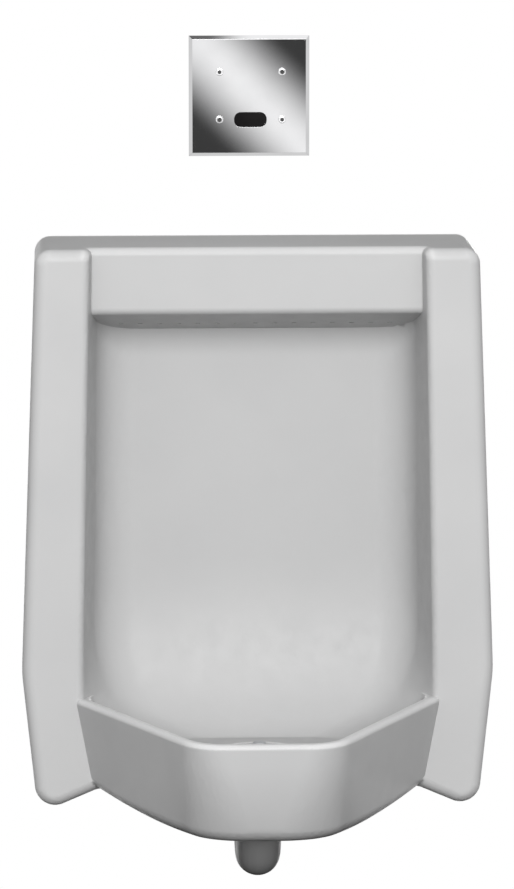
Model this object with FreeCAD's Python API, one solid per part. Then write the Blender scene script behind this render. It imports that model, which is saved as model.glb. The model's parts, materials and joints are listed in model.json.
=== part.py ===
import FreeCAD, Part
import math
import os

V = FreeCAD.Vector
X, Y, Z = V(1, 0, 0), V(0, 1, 0), V(0, 0, 1)

# All sizes are millimetres. X is to the right, Y runs into the wall, Z is up.
# The origin is the centre of the waste outlet on the finished wall.
# "Depth" below is the distance out from the wall, towards the user.

# Points closer than MEET are one point, and edges closer than NEAR to a place lie there
MEET, NEAR = 1e-6, 0.05

# China outline seen from the front
TOP = 520.0
TOP_HALF, TOP_R = 217.5, 16.0
WIDE_FLARE, WIDE_Z, WIDE_R = 15.5, 101.0, 130.0
WIDE_HALF = TOP_HALF + WIDE_FLARE
FOOT_FLARE, FOOT_Z, FOOT_R, FOOT_W = 0.5, -41.0, 20.0, 59.0
FOOT_HALF = TOP_HALF + FOOT_FLARE
NOTCH_HALF, NOTCH_R = FOOT_HALF - FOOT_W, 16.0
NOTCH_Z = -16.0
WING_TOP_DEPTH, WING_LOW_DEPTH = 125.0, 136.0
WING_EDGE_R, MOUTH_R = 12.0, 8.0
WING_W, MOUTH_GROW, MOUTH_DEPTH = 52.5, 9.0, 200.0
MOUTH_HALF = TOP_HALF - WING_W

# Bowl that stands out in front of the wings
RIM = 76.0
RIM_DEPTH, BELLY_SET, BELLY_TUCK = 352.0, 8.0, 18.1
BELLY_DEPTH = RIM_DEPTH - BELLY_SET
FACET_SLOPE, FACET_GAP = 0.515, 5.2
FACET_HALF = MOUTH_HALF + MOUTH_GROW + FACET_GAP
RIM_CORNER = FACET_HALF - FACET_SLOPE * (RIM_DEPTH - WING_LOW_DEPTH)
BELLY_CORNER = FACET_HALF - BELLY_TUCK - FACET_SLOPE * (BELLY_DEPTH - WING_LOW_DEPTH)
RIM_ROUND, BELLY_ROUND, BOWL_ROUND = 0.68, 1.4, 0.59
BOWL_BACK = 46.0
BELLY_Z, BELLY_LOW_DEPTH, BELLY_SWEEP_R = -25.0, 262.0, 900.0
LIP_OUT_R, LIP_IN_R, BELLY_R = 5.0, 4.0, 16.0

# Hollow of the channel and the bowl
FLOOR = 29.0
SWEEP_Z = 24.0
CHANNEL_DEPTH, CHANNEL_CORNER_R = 40.0, 44.0
CHANNEL_TUCK, CHANNEL_SIDE_GROW = 14.0, 5.0
CHANNEL_SIDE = MOUTH_HALF - CHANNEL_TUCK
TURN_DEPTH, TURN_SWING, TURN_R = 126.0, 42.0, 30.0
LIP_THICK, LIP_SIDE = 12.0, 7.0
BACK_START, BACK_REACH = 200.0, 84.0
SIDE_START, SIDE_REACH = 150.0, 104.0
TURN_REACH = 130.0
FRONT_REACH, CORNER_REACH = 112.0, 24.0
CHANNEL_STEPS = 10
BOWL_LEVELS = (168.0, 136.0, 104.0, RIM, 57.0, 43.0, 34.0, FLOOR)

# Flush rim across the top
HEAD_DEPTH, HEAD_TALL, HEAD_SINK, HEAD_R = 105.0, 65.0, 21.0, 8.0
HEAD_HALF = MOUTH_HALF + HEAD_SINK
HEAD_UNDER_DEPTH, HEAD_UNDER_DROP = 30.0, 27.0
HEAD_WALL = 12.0
CHAMBER_GAP = 11.0
CHAMBER_HALF = CHANNEL_SIDE - CHAMBER_GAP
JET_D, JET_END, JET_COUNT, JET_DEPTH = 5.0, 7.0, 15, 62.0
JET_PITCH = 2 * (CHAMBER_HALF - JET_END) / (JET_COUNT - 1)

# Hollow back
RING_W, RING_R = 18.0, 12.0
POCKET_DEPTH = 25.0
POCKET_LOW = 14.0
WING_WALL = 13.0
WING_POCKET_GAP, WING_POCKET_LOW, WING_POCKET_TUCK = 19.0, 30.0, 33.0
WING_POCKET_IN, WING_POCKET_LOW_OUT = MOUTH_HALF + WING_POCKET_GAP, WIDE_HALF - WING_POCKET_TUCK
OUTLET_GAP_HALF = 62.0

# Trap and outlet
TRAP_D, TRAP_BORE = 44.0, 28.0
DRAIN_DEPTH, RISER_DEPTH = 160.0, 48.0
TRAP_DIP = -86.5
OUTLET_BEND_R = 22.0
COLLAR_D, COLLAR_BACK = 96.0, 30.0
BOLT_X, BOLT_D, BOLT_HOLE = 38.0, 8.0, 9.0
WRENCH_HALF, WRENCH_TOP, WRENCH_DEPTH = 11.0, 11.0, 56.0
STRAINER_D, STRAINER_SEAT, STRAINER_GAP, STRAINER_LOW = 72.0, 4.0, 0.5, 1.0
KNOB_D, KNOB_TALL, KNOB_R = 14.0, 9.0, 3.0
GRID_D, GRID_FIRST, GRID_PITCH = 6.0, 14.0, 8.5
GRID_RINGS, GRID_COUNT = 3, 6

# Outlet fittings
GASKET_T, GASKET_D, GASKET_ID = 3.0, 66.0, 32.0
FLANGE_D, FLANGE_T = 104.0, 10.0
HUB_D, HUB_LONG, PIPE_BORE = 68.0, 40.0, 57.0
BOLT_HEAD_D, BOLT_HEAD_T, BOLT_TAIL = 14.0, 4.0, 6.0
NUT_AF, NUT_T = 13.0, 7.0

# Hangers
HANGER_X, HANGER_W, HANGER_T = 115.0, 50.0, 3.0
HANGER_LOW, HANGER_HIGH = 396.0, 440.0
HOOK_DEPTH, HOOK_TALL, SLOT_GAP = 14.0, 17.0, 0.5
RIB_W, RIB_DEPTH, RIB_TALL = 40.0, 5.0, 22.0
HANGER_SCREW_D, HANGER_SCREW_LONG, HANGER_SCREW_PITCH = 6.0, 40.0, 20.0
SCREW_HEAD_D, SCREW_HEAD_T, HANGER_HOLE = 14.0, 3.5, 9.0

# Back spud
SPUD_Z = 480.0
SPUD_HOLE, SPUD_D, SPUD_BORE = 36.0, 26.0, 20.0
SLEEVE_D, SLEEVE_T, BULGE_D, BULGE_T = 42.0, 3.0, 44.0, 6.0
FLARE_D, FLARE_T = 33.0, 3.0
WASHER_D, WASHER_T = 42.0, 2.0
LOCKNUT_AF, LOCKNUT_T = 41.0, 8.0
SPUD_TAIL = 12.0

# Flush pipe behind the wall
PIPE_Y = 66.0
ELBOW_R, ELBOW_NUT_AF, ELBOW_NUT_T = 30.0, 38.0, 20.0
SOCKET_D, SOCKET_TALL, SOCKET_DEEP = 30.0, 20.0, 14.0
TUBE_D, TUBE_BORE = 22.0, 19.0
TUBE_LOW, TUBE_HIGH = 516.0, 558.0
SLIP_AF, SLIP_T, SLIP_GASKET_T, SLIP_WEB = 36.0, 14.0, 4.0, 3.0

# Vacuum breaker
BREAKER_D, BREAKER_LOW, BREAKER_HIGH = 40.0, 546.0, 598.0
NECK_D, NECK_BORE, NECK_DEEP = 26.0, 18.0, 10.0
FLOAT_BORE, FLOAT_LOW, FLOAT_ROOM, FLOAT_T = 24.0, 562.0, 20.0, 10.0
RUN_GAP = 0.05
FLOAT_LIFT = 4.0
FLOAT_SLOT_D, FLOAT_SLOTS, FLOAT_SEAT = 5.0, 3, 15.0
AIR_PORT_D, AIR_PORTS = 5.0, 4

# Cover plate and box
PLATE_X, PLATE_Z, PLATE_W, PLATE_T = -4.0, 659.5, 120.0, 5.0
PLATE_BEVEL = 3.5
BOX_W, BOX_DEEP, BOX_WALL = 112.0, 92.0, 2.0
POST_W = 8.0
FRAME_Y, FRAME_T, FRAME_GAP = 4.0, 2.0, 0.2
FRAME_OPEN_W, FRAME_OPEN_H = 43.0, 88.0
SCREW_PITCH_X, SCREW_PITCH_Z, SCREW_X, SCREW_Z = 62.2, 47.4, -2.4, 659.8
SCREW_D, SCREW_HOLE, SCREW_TIP = 4.0, 4.6, 12.0
BUTTON_D, BUTTON_T, KEY_AF, KEY_DEEP = 7.5, 2.2, 3.0, 1.4
BOSS_D, BOSS_LONG = 9.0, 8.0

# Sensor
WINDOW_X, WINDOW_Z, WINDOW_W, WINDOW_H, WINDOW_R = -2.8, 636.0, 32.0, 14.6, 6.5
WINDOW_GAP, WINDOW_PROUD, WINDOW_IN = 0.2, 0.4, 2.0
HOUSING_W, HOUSING_H, HOUSING_DEEP, HOUSING_WALL = 40.0, 24.0, 8.0, 2.0
BOARD_T, BOARD_Y, BOARD_GAP = 1.6, 3.5, 0.3

# Flush valve
VALVE_Z = 655.0
VALVE_D, VALVE_FRONT, VALVE_BACK = 46.0, 40.0, 80.0
INLET_Y = 54.0
INLET_BOSS_D, INLET_TOP, INLET_BORE = 27.0, 685.0, 15.0
OUT_BOSS_D, OUT_LOW, OUT_BORE = 34.0, 606.0, 16.0
ANNULUS_D, NOZZLE_D, NOZZLE_BORE, ANNULUS_BACK = 36.0, 24.0, 18.0, 56.0
NOZZLE_END = 75.0
SEAT_Y = 48.0
DIAPHRAGM_D, DIAPHRAGM_T = 40.0, 2.0
STEM_D, PAD_D, CAP_D, CAP_T = 10.0, 26.0, 20.0, 3.0
BONNET_CHAMBER_D, BONNET_CHAMBER, BONNET_WALL = 30.0, 10.0, 4.0
GUIDE_D, PLUNGER_BORE, GUIDE_FRONT, GUIDE_END = 14.0, 9.0, 6.0, 2.0
PLUNGER_LONG = 11.0
PILOT_D, PILOT_WALL = 3.0, 2.0
COIL_D, COIL_FRONT = 26.0, 10.0
MAIN_SPRING_D, MAIN_WIRE, MAIN_TURNS = 16.0, 1.0, 2.0
PILOT_SPRING_D, PILOT_WIRE, PILOT_TURNS = 6.6, 0.7, 5.0

# Quarter-turn stop and supply
STOP_D, STOP_TOP = 27.0, 709.0
COCK_BORE, COCK_BOSS_D, COCK_FRONT, COCK_BACK, COCK_END = 16.0, 22.0, 40.0, 69.0, 66.0
COCK_Z = 694.0
COCK_WAY, SPINDLE_D, SPINDLE_FRONT = 11.0, 8.0, 26.0
DRIVE_W, DRIVE_DEEP = 1.6, 3.0
GLAND_AF, GLAND_T, GLAND_IN = 20.0, 6.0, 2.0
NIPPLE_D, NIPPLE_BORE, NIPPLE_LOW, NIPPLE_TOP = 22.0, 15.0, 703.0, 747.0
SUPPLY_D, SUPPLY_LONG = 21.0, 24.0
NIPPLE_NUT_AF, NIPPLE_NUT_T, PORT_GAP = 27.0, 6.0, 0.3

# Battery pack
CELL_D, CELL_LONG, CELL_GAP, CELL_PITCH = 14.4, 50.0, 0.2, 16.6
PACK_W, PACK_FRONT, PACK_LOW = 34.0, 20.0, 636.0
PACK_FLOOR, PACK_HEAD, PACK_LID_T = 3.0, 1.0, 3.0


def rounded(points):
    segs = []
    for i, (u, v, r) in enumerate(points):
        p = V(u, v, 0)
        a = V(points[i - 1][0], points[i - 1][1], 0) - p
        nxt = points[(i + 1) % len(points)]
        b = V(nxt[0], nxt[1], 0) - p
        if r <= 0:
            segs.append((p, None, p))
            continue
        a.normalize()
        b.normalize()
        half = a.getAngle(b) / 2
        bisector = a + b
        bisector.normalize()
        centre = p + bisector * (r / math.sin(half))
        reach = r / math.tan(half)
        segs.append((p + a * reach, centre - bisector * r, p + b * reach))
    return segs


def wire(points, place):
    segs = rounded(points)
    edges = []
    for i, (start, mid, end) in enumerate(segs):
        if mid is not None:
            edges.append(Part.Arc(place(start), place(mid), place(end)).toShape())
        nxt = segs[(i + 1) % len(segs)][0]
        if (nxt - end).Length > MEET:
            edges.append(Part.LineSegment(place(end), place(nxt)).toShape())
    return Part.Wire(edges)


def mirrored(half):
    return half + [(-u, v, r) for u, v, r in reversed(half)]


def front_view(q):
    return V(q.x, 0, q.y)


def plan_at(z):
    return lambda q: V(q.x, -q.y, z)


def side_slab(points, half):
    outline = [V(-half, -depth, z) for depth, z in points]
    return Part.Face(Part.makePolygon(outline + outline[:1])).extrude(X * (2 * half))


def box(x0, x1, y0, y1, z0, z1):
    return Part.makeBox(x1 - x0, y1 - y0, z1 - z0, V(x0, y0, z0))


def rod_y(d, y0, y1, x=0.0, z=0.0):
    return Part.makeCylinder(d / 2, y1 - y0, V(x, y0, z), Y)


def rod_z(d, z0, z1, x=0.0, y=0.0):
    return Part.makeCylinder(d / 2, z1 - z0, V(x, y, z0), Z)


def hexagon(af, place):
    r = af / math.sqrt(3)
    corners = [place(r * math.cos(a), r * math.sin(a)) for a in (i * math.pi / 3 for i in range(6))]
    return Part.Face(Part.makePolygon(corners + corners[:1]))


def hex_y(af, y0, y1, x=0.0, z=0.0):
    return hexagon(af, lambda u, v: V(x + u, y0, z + v)).extrude(Y * (y1 - y0))


def hex_z(af, z0, z1, x=0.0, y=0.0):
    return hexagon(af, lambda u, v: V(x + u, y + v, z0)).extrude(Z * (z1 - z0))


def carve(body, cuts):
    for tool in cuts:
        body = body.cut(tool)
    return body


def flat_edges(shape, z, skip_y):
    def level(e):
        b = e.BoundBox
        return abs(b.ZMin - z) < NEAR and abs(b.ZMax - z) < NEAR
    return [e for e in shape.Edges if level(e) and abs(e.CenterOfMass.y - skip_y) > NEAR]


def wing_depth(z):
    return WING_LOW_DEPTH + (WING_TOP_DEPTH - WING_LOW_DEPTH) * z / TOP


def dip(z, start, reach):
    t = max(0.0, (start - z) / (start - SWEEP_Z))
    return reach * (1 - math.sqrt(1 - t * t))


def back_slab():
    half = [(TOP_HALF, TOP, TOP_R), (WIDE_HALF, WIDE_Z, WIDE_R),
            (FOOT_HALF, FOOT_Z, FOOT_R), (NOTCH_HALF, NOTCH_Z, NOTCH_R)]
    block = Part.Face(wire(mirrored(half), front_view)).extrude(-Y * RIM_DEPTH)
    high, low = 2 * TOP, -TOP
    lean = [(0, high), (wing_depth(high), high), (wing_depth(low), low), (0, low)]
    block = block.common(side_slab(lean, RIM_DEPTH))
    face = min(block.Faces, key=lambda f: f.CenterOfMass.y)
    return block.makeFillet(WING_EDGE_R, face.OuterWire.Edges)


def bowl_section(z, corner, depth, roundness):
    half = [(corner + FACET_SLOPE * (depth - BOWL_BACK), BOWL_BACK, 0), (corner, depth, roundness * corner)]
    return wire(mirrored(half), plan_at(z))


def bowl_block():
    low = bowl_section(BELLY_Z, BELLY_CORNER, BELLY_DEPTH, BELLY_ROUND)
    high = bowl_section(RIM, RIM_CORNER, RIM_DEPTH, RIM_ROUND)
    bowl = Part.makeLoft([low, high], True, True)
    centre = V(-RIM_DEPTH, -BELLY_LOW_DEPTH, BELLY_Z + BELLY_SWEEP_R)
    bowl = bowl.common(Part.makeCylinder(BELLY_SWEEP_R, 2 * RIM_DEPTH, centre, X))
    under = min(bowl.Faces, key=lambda f: f.CenterOfMass.z)
    edges = [e for e in under.Edges if abs(e.CenterOfMass.y + BOWL_BACK) > NEAR]
    bowl = bowl.makeFillet(BELLY_R, edges)
    return bowl.makeFillet(LIP_OUT_R, flat_edges(bowl, RIM, -BOWL_BACK))


def channel_corner(z):
    down = (TOP - z) / (TOP - RIM)
    side = CHANNEL_SIDE + CHANNEL_SIDE_GROW * down - dip(z, SIDE_START, SIDE_REACH)
    return side, CHANNEL_DEPTH + dip(z, BACK_START, BACK_REACH)


def channel_half(z, depth):
    side, back = channel_corner(z)
    mouth = MOUTH_HALF + MOUTH_GROW * (TOP - z) / (TOP - RIM)
    return side + (mouth - side) * (depth - back) / (wing_depth(z) - back)


def channel_section(z):
    side, back = channel_corner(z)
    half = [(side, back, CHANNEL_CORNER_R), (channel_half(z, MOUTH_DEPTH), MOUTH_DEPTH, 0)]
    return wire(mirrored(half), plan_at(z))


def bowl_space_section(z):
    side, back = channel_corner(z)
    turn = channel_half(max(z, RIM), TURN_DEPTH) - dip(z, RIM, TURN_REACH)
    depth = TURN_DEPTH + dip(z, RIM, TURN_SWING)
    front = RIM_DEPTH - LIP_THICK - dip(z, RIM, FRONT_REACH)
    corner = RIM_CORNER - LIP_SIDE - dip(z, RIM, CORNER_REACH)
    half = [(side, back, CHANNEL_CORNER_R), (turn, depth, TURN_R), (corner, front, BOWL_ROUND * corner)]
    return wire(mirrored(half), plan_at(z))


def channel():
    over = TOP + LIP_THICK
    step = (over - BACK_START) / CHANNEL_STEPS
    levels = [over - step * i for i in range(CHANNEL_STEPS + 1)] + list(BOWL_LEVELS)
    return Part.makeLoft([channel_section(z) for z in levels], True, False)


def bowl_space():
    return Part.makeLoft([bowl_space_section(z) for z in BOWL_LEVELS], True, False)


def wing_mouths(shape):
    def on_front(e):
        middle = e.valueAt((e.FirstParameter + e.LastParameter) / 2)
        return abs(middle.y + wing_depth(middle.z)) < NEAR and abs(middle.x) < MOUTH_HALF + LIP_THICK
    long_edges = [e for e in shape.Edges if e.BoundBox.ZLength > TOP / 2]
    return [e for e in long_edges if on_front(e)]


def shell():
    slab, space = back_slab(), bowl_space()
    upper = slab.common(box(-RIM_DEPTH, RIM_DEPTH, -RIM_DEPTH, RIM_DEPTH, RIM, 2 * TOP)).cut(channel())
    lower = slab.common(box(-RIM_DEPTH, RIM_DEPTH, -RIM_DEPTH, RIM_DEPTH, -TOP, RIM)).cut(space)
    upper = upper.makeFillet(MOUTH_R, wing_mouths(upper))
    bowl = bowl_block().cut(space)
    rim = max((f for f in bowl.Faces if f.BoundBox.ZLength < NEAR), key=lambda f: f.CenterOfMass.z)
    inner = [w for w in rim.Wires if not w.isSame(rim.OuterWire)][0]
    bowl = bowl.makeFillet(LIP_IN_R, inner.Edges)
    return upper.fuse([lower, bowl]).removeSplitter()


def head_under(depth):
    share = (HEAD_DEPTH - depth) / (HEAD_DEPTH - HEAD_UNDER_DEPTH)
    return TOP - HEAD_TALL - HEAD_UNDER_DROP * share


def head_block():
    low = head_under(HEAD_UNDER_DEPTH)
    outline = [(0, TOP), (HEAD_DEPTH, TOP), (HEAD_DEPTH, TOP - HEAD_TALL),
               (HEAD_UNDER_DEPTH, low), (0, low)]
    block = side_slab(outline, HEAD_HALF)
    long_edges = [e for e in block.Edges if e.BoundBox.XLength > HEAD_HALF]
    edges = [e for e in long_edges if abs(e.CenterOfMass.y + HEAD_DEPTH) < NEAR]
    return block.makeFillet(HEAD_R, edges)


def head_chamber():
    near, far = HEAD_DEPTH - HEAD_WALL, POCKET_DEPTH + HEAD_WALL
    outline = [(far, TOP - HEAD_WALL), (near, TOP - HEAD_WALL),
               (near, head_under(near) + HEAD_WALL), (far, head_under(far) + HEAD_WALL)]
    space = [side_slab(outline, CHAMBER_HALF)]
    z = head_under(JET_DEPTH)
    for i in range(JET_COUNT):
        x = (i - (JET_COUNT - 1) / 2) * JET_PITCH
        space.append(rod_z(JET_D, z - HEAD_WALL, z + 2 * HEAD_WALL, x, -JET_DEPTH))
    space.append(rod_y(SPUD_HOLE, -far - HEAD_R, 0, 0, SPUD_Z))
    return space


def back_pockets():
    top = TOP - RING_W
    main = [(TOP_HALF - RING_W, top, RING_R), (WIDE_HALF - RING_W, WIDE_Z, RING_R),
            (FOOT_HALF - RING_W, POCKET_LOW, RING_R)]
    top_in = top - RING_R
    wing = [(WING_POCKET_IN, top_in, 0), (TOP_HALF - RING_W, top_in, 0), (WIDE_HALF - RING_W, WIDE_Z, 0),
            (WING_POCKET_LOW_OUT, WING_POCKET_LOW, 0), (WING_POCKET_IN, WING_POCKET_LOW, 0)]
    other = [(-x, z, r) for x, z, r in wing]
    deep = WING_TOP_DEPTH - WING_WALL
    return [Part.Face(wire(mirrored(main), front_view)).extrude(-Y * POCKET_DEPTH),
            Part.Face(wire(wing, front_view)).extrude(-Y * deep),
            Part.Face(wire(other, front_view)).extrude(-Y * deep),
            box(-OUTLET_GAP_HALF, OUTLET_GAP_HALF, -POCKET_DEPTH, 0, FOOT_Z, POCKET_LOW + RING_R)]


def trap_pipe(d, top, end):
    r = (DRAIN_DEPTH - RISER_DEPTH) / 2
    spring, mid = TRAP_DIP + r, (DRAIN_DEPTH + RISER_DEPTH) / 2
    q = OUTLET_BEND_R
    bend = q * (1 - math.sqrt(0.5))
    line = Part.LineSegment
    path = [line(V(0, -DRAIN_DEPTH, top), V(0, -DRAIN_DEPTH, spring)),
            Part.Arc(V(0, -DRAIN_DEPTH, spring), V(0, -mid, TRAP_DIP), V(0, -RISER_DEPTH, spring)),
            line(V(0, -RISER_DEPTH, spring), V(0, -RISER_DEPTH, -q)),
            Part.Arc(V(0, -RISER_DEPTH, -q), V(0, bend - RISER_DEPTH, -bend), V(0, q - RISER_DEPTH, 0)),
            line(V(0, q - RISER_DEPTH, 0), V(0, -end, 0))]
    ring = Part.Wire(Part.makeCircle(d / 2, V(0, -DRAIN_DEPTH, top), Z))
    return Part.Wire([e.toShape() for e in path]).makePipeShell([ring], True, False)


def outlet_cuts():
    cuts = [trap_pipe(TRAP_BORE, FLOOR, 0),
            rod_z(STRAINER_D + 2 * STRAINER_GAP, FLOOR - STRAINER_SEAT, FLOOR + RING_W, 0, -DRAIN_DEPTH)]
    for x in (-BOLT_X, BOLT_X):
        cuts.append(rod_y(BOLT_HOLE, -WRENCH_DEPTH, 0, x))
        cuts.append(box(x - WRENCH_HALF, x + WRENCH_HALF,
                        -WRENCH_DEPTH, -COLLAR_BACK, -COLLAR_D, WRENCH_TOP))
    return cuts


def hanger_ribs():
    top = HANGER_HIGH + HOOK_TALL
    ribs = []
    for x in (-HANGER_X, HANGER_X):
        low = HANGER_HIGH + HANGER_T
        rib = box(x - RIB_W / 2, x + RIB_W / 2, -POCKET_DEPTH, -RIB_DEPTH, low, low + RIB_TALL)
        slot = box(x - RIB_W, x + RIB_W, -HOOK_DEPTH - SLOT_GAP, HANGER_T + SLOT_GAP - HOOK_DEPTH, low, top)
        ribs.append(rib.cut(slot))
    return ribs


def china_body():
    body = shell().fuse(head_block()).removeSplitter()
    body = body.cut(back_pockets())
    tube = trap_pipe(TRAP_D, FLOOR - STRAINER_SEAT - RING_W / 2, GASKET_T)
    collar = rod_y(COLLAR_D, -COLLAR_BACK, -GASKET_T)
    body = body.fuse([tube, collar] + hanger_ribs()).removeSplitter()
    return body.cut(head_chamber() + outlet_cuts())


def drain_strainer():
    low = FLOOR - STRAINER_SEAT
    plate = rod_z(STRAINER_D, low, FLOOR - STRAINER_LOW, 0, -DRAIN_DEPTH)
    knob = rod_z(KNOB_D, low, FLOOR + KNOB_TALL, 0, -DRAIN_DEPTH)
    knob = knob.makeFillet(KNOB_R, [max(knob.Edges, key=lambda e: e.CenterOfMass.z)])
    holes = []
    for n in range(GRID_RINGS):
        ring, count = GRID_FIRST + GRID_PITCH * n, GRID_COUNT * (n + 1)
        for i in range(count):
            a = 2 * math.pi * i / count
            holes.append(rod_z(GRID_D, low, FLOOR, ring * math.cos(a), ring * math.sin(a) - DRAIN_DEPTH))
    return plate.fuse(knob).removeSplitter().cut(holes)


def outlet_gasket():
    return rod_y(GASKET_D, -GASKET_T, 0).cut(rod_y(GASKET_ID, -GASKET_T, 0))


def outlet_flange():
    body = rod_y(FLANGE_D, 0, FLANGE_T).fuse(rod_y(HUB_D, 0, HUB_LONG)).removeSplitter()
    cuts = [rod_y(PIPE_BORE, 0, HUB_LONG)]
    cuts += [rod_y(BOLT_D, 0, FLANGE_T, x) for x in (-BOLT_X, BOLT_X)]
    cuts += [rod_y(BOLT_HEAD_D, FLANGE_T, HUB_LONG, x) for x in (-BOLT_X, BOLT_X)]
    return body.cut(cuts)


def outlet_bolt(x):
    shank = rod_y(BOLT_D, -COLLAR_BACK - NUT_T - BOLT_TAIL, FLANGE_T, x)
    return shank.fuse(rod_y(BOLT_HEAD_D, FLANGE_T, FLANGE_T + BOLT_HEAD_T, x))


def outlet_nut(x):
    near = -COLLAR_BACK
    return hex_y(NUT_AF, near - NUT_T, near, x).cut(rod_y(BOLT_D, near - NUT_T, near, x))


def hanger(x):
    top = HANGER_HIGH + HOOK_TALL
    left, right = x - HANGER_W / 2, x + HANGER_W / 2
    plate = box(left, right, -HANGER_T, 0, HANGER_LOW, HANGER_HIGH)
    arm = box(left, right, -HOOK_DEPTH, 0, HANGER_HIGH - HANGER_T, HANGER_HIGH)
    hook = box(left, right, -HOOK_DEPTH, HANGER_T - HOOK_DEPTH, HANGER_HIGH - HANGER_T, top)
    holes = [rod_y(HANGER_HOLE, -HANGER_T, 0, x, z) for z in hanger_screw_levels()]
    return plate.fuse([arm, hook]).removeSplitter().cut(holes)


def hanger_screw_levels():
    mid = (HANGER_LOW + HANGER_HIGH - HANGER_T) / 2
    return (mid - HANGER_SCREW_PITCH / 2, mid + HANGER_SCREW_PITCH / 2)


def hanger_screw(x, z):
    near = -HANGER_T - SCREW_HEAD_T
    head = rod_y(SCREW_HEAD_D, near, -HANGER_T, x, z)
    slot = box(x - SCREW_HEAD_D, x + SCREW_HEAD_D, near, near + SCREW_HEAD_T / 2,
               z - DRIVE_W / 2, z + DRIVE_W / 2)
    return head.cut(slot).fuse(rod_y(HANGER_SCREW_D, -HANGER_T, HANGER_SCREW_LONG, x, z))


def spud_sleeve():
    inner = -POCKET_DEPTH - HEAD_WALL
    body = rod_y(SPUD_HOLE, inner - BULGE_T, SLEEVE_T - POCKET_DEPTH, 0, SPUD_Z)
    body = body.fuse([rod_y(SLEEVE_D, -POCKET_DEPTH, SLEEVE_T - POCKET_DEPTH, 0, SPUD_Z),
                      rod_y(BULGE_D, inner - BULGE_T, inner, 0, SPUD_Z)]).removeSplitter()
    return body.cut(rod_y(SPUD_D, inner - BULGE_T, 0, 0, SPUD_Z))


def inlet_spud():
    near = -POCKET_DEPTH - HEAD_WALL - BULGE_T
    tube = rod_y(SPUD_D, near, SPUD_TAIL, 0, SPUD_Z).fuse(rod_y(FLARE_D, near - FLARE_T, near, 0, SPUD_Z))
    return tube.cut(rod_y(SPUD_BORE, near - FLARE_T, SPUD_TAIL, 0, SPUD_Z))


def spud_washer():
    y = SLEEVE_T - POCKET_DEPTH
    return rod_y(WASHER_D, y, y + WASHER_T, 0, SPUD_Z).cut(rod_y(SPUD_D, y, y + WASHER_T, 0, SPUD_Z))


def spud_locknut():
    y = SLEEVE_T + WASHER_T - POCKET_DEPTH
    return hex_y(LOCKNUT_AF, y, y + LOCKNUT_T, 0, SPUD_Z).cut(rod_y(SPUD_D, y, y + LOCKNUT_T, 0, SPUD_Z))


def elbow_nut():
    y0, y1 = SPUD_TAIL - ELBOW_NUT_T / 2, SPUD_TAIL + ELBOW_NUT_T / 2
    return hex_y(ELBOW_NUT_AF, y0, y1, 0, SPUD_Z).cut(rod_y(SPUD_D, y0, y1, 0, SPUD_Z))


def elbow_pipe(d):
    r = ELBOW_R
    turn, rise = V(0, PIPE_Y - r, SPUD_Z), V(0, PIPE_Y, SPUD_Z + r)
    mid = V(0, PIPE_Y - r + r * math.sqrt(0.5), SPUD_Z + r - r * math.sqrt(0.5))
    path = [Part.LineSegment(V(0, SPUD_TAIL, SPUD_Z), turn), Part.Arc(turn, mid, rise),
            Part.LineSegment(rise, V(0, PIPE_Y, TUBE_LOW))]
    ring = Part.Wire(Part.makeCircle(d / 2, V(0, SPUD_TAIL, SPUD_Z), Y))
    return Part.Wire([e.toShape() for e in path]).makePipeShell([ring], True, False)


def flush_elbow():
    high = TUBE_LOW + SOCKET_DEEP
    socket = rod_z(SOCKET_D, high - SOCKET_TALL, high, 0, PIPE_Y)
    body = elbow_pipe(SPUD_D).fuse(socket).removeSplitter()
    return body.cut([elbow_pipe(SPUD_BORE), rod_z(TUBE_D, TUBE_LOW, high, 0, PIPE_Y)])


def flush_tube():
    tube = rod_z(TUBE_D, TUBE_LOW, TUBE_HIGH, 0, PIPE_Y)
    return tube.cut(rod_z(TUBE_BORE, TUBE_LOW, TUBE_HIGH, 0, PIPE_Y))


def slip_gasket():
    z = TUBE_LOW + SOCKET_DEEP
    ring = rod_z(SOCKET_D, z, z + SLIP_GASKET_T, 0, PIPE_Y)
    return ring.cut(rod_z(TUBE_D, z, z + SLIP_GASKET_T, 0, PIPE_Y))


def slip_nut():
    seat = TUBE_LOW + SOCKET_DEEP + SLIP_GASKET_T
    top = seat + SLIP_WEB
    low = top - SLIP_T
    return hex_z(SLIP_AF, low, top, 0, PIPE_Y).cut(
        [rod_z(SOCKET_D, low, seat, 0, PIPE_Y), rod_z(TUBE_D, seat, top, 0, PIPE_Y)])


def breaker_body():
    body = rod_z(BREAKER_D, BREAKER_LOW, BREAKER_HIGH, 0, PIPE_Y)
    body = body.fuse(rod_z(NECK_D, BREAKER_HIGH, OUT_LOW + NECK_DEEP, 0, PIPE_Y)).removeSplitter()
    cuts = [rod_z(TUBE_D, BREAKER_LOW, TUBE_HIGH, 0, PIPE_Y),
            rod_z(FLOAT_SEAT, TUBE_HIGH, FLOAT_LOW, 0, PIPE_Y),
            rod_z(FLOAT_BORE, FLOAT_LOW, FLOAT_LOW + FLOAT_ROOM, 0, PIPE_Y),
            rod_z(NECK_BORE, FLOAT_LOW, OUT_LOW + NECK_DEEP, 0, PIPE_Y)]
    port = FLOAT_LOW + FLOAT_T + FLOAT_LIFT
    for i in range(AIR_PORTS):
        a = 2 * math.pi * (i + 0.5) / AIR_PORTS
        way = V(math.cos(a), math.sin(a), 0)
        cuts.append(Part.makeCylinder(AIR_PORT_D / 2, BREAKER_D, V(0, PIPE_Y, port), way))
    return body.cut(cuts)


def breaker_float():
    r = FLOAT_BORE / 2 - RUN_GAP
    body = rod_z(2 * r, FLOAT_LOW, FLOAT_LOW + FLOAT_T, 0, PIPE_Y)
    cuts = [rod_z(FLOAT_SLOT_D, FLOAT_LOW, FLOAT_LOW + FLOAT_T, r * math.cos(a), PIPE_Y + r * math.sin(a))
            for a in (2 * math.pi * i / FLOAT_SLOTS for i in range(FLOAT_SLOTS))]
    return body.cut(cuts)


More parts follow.
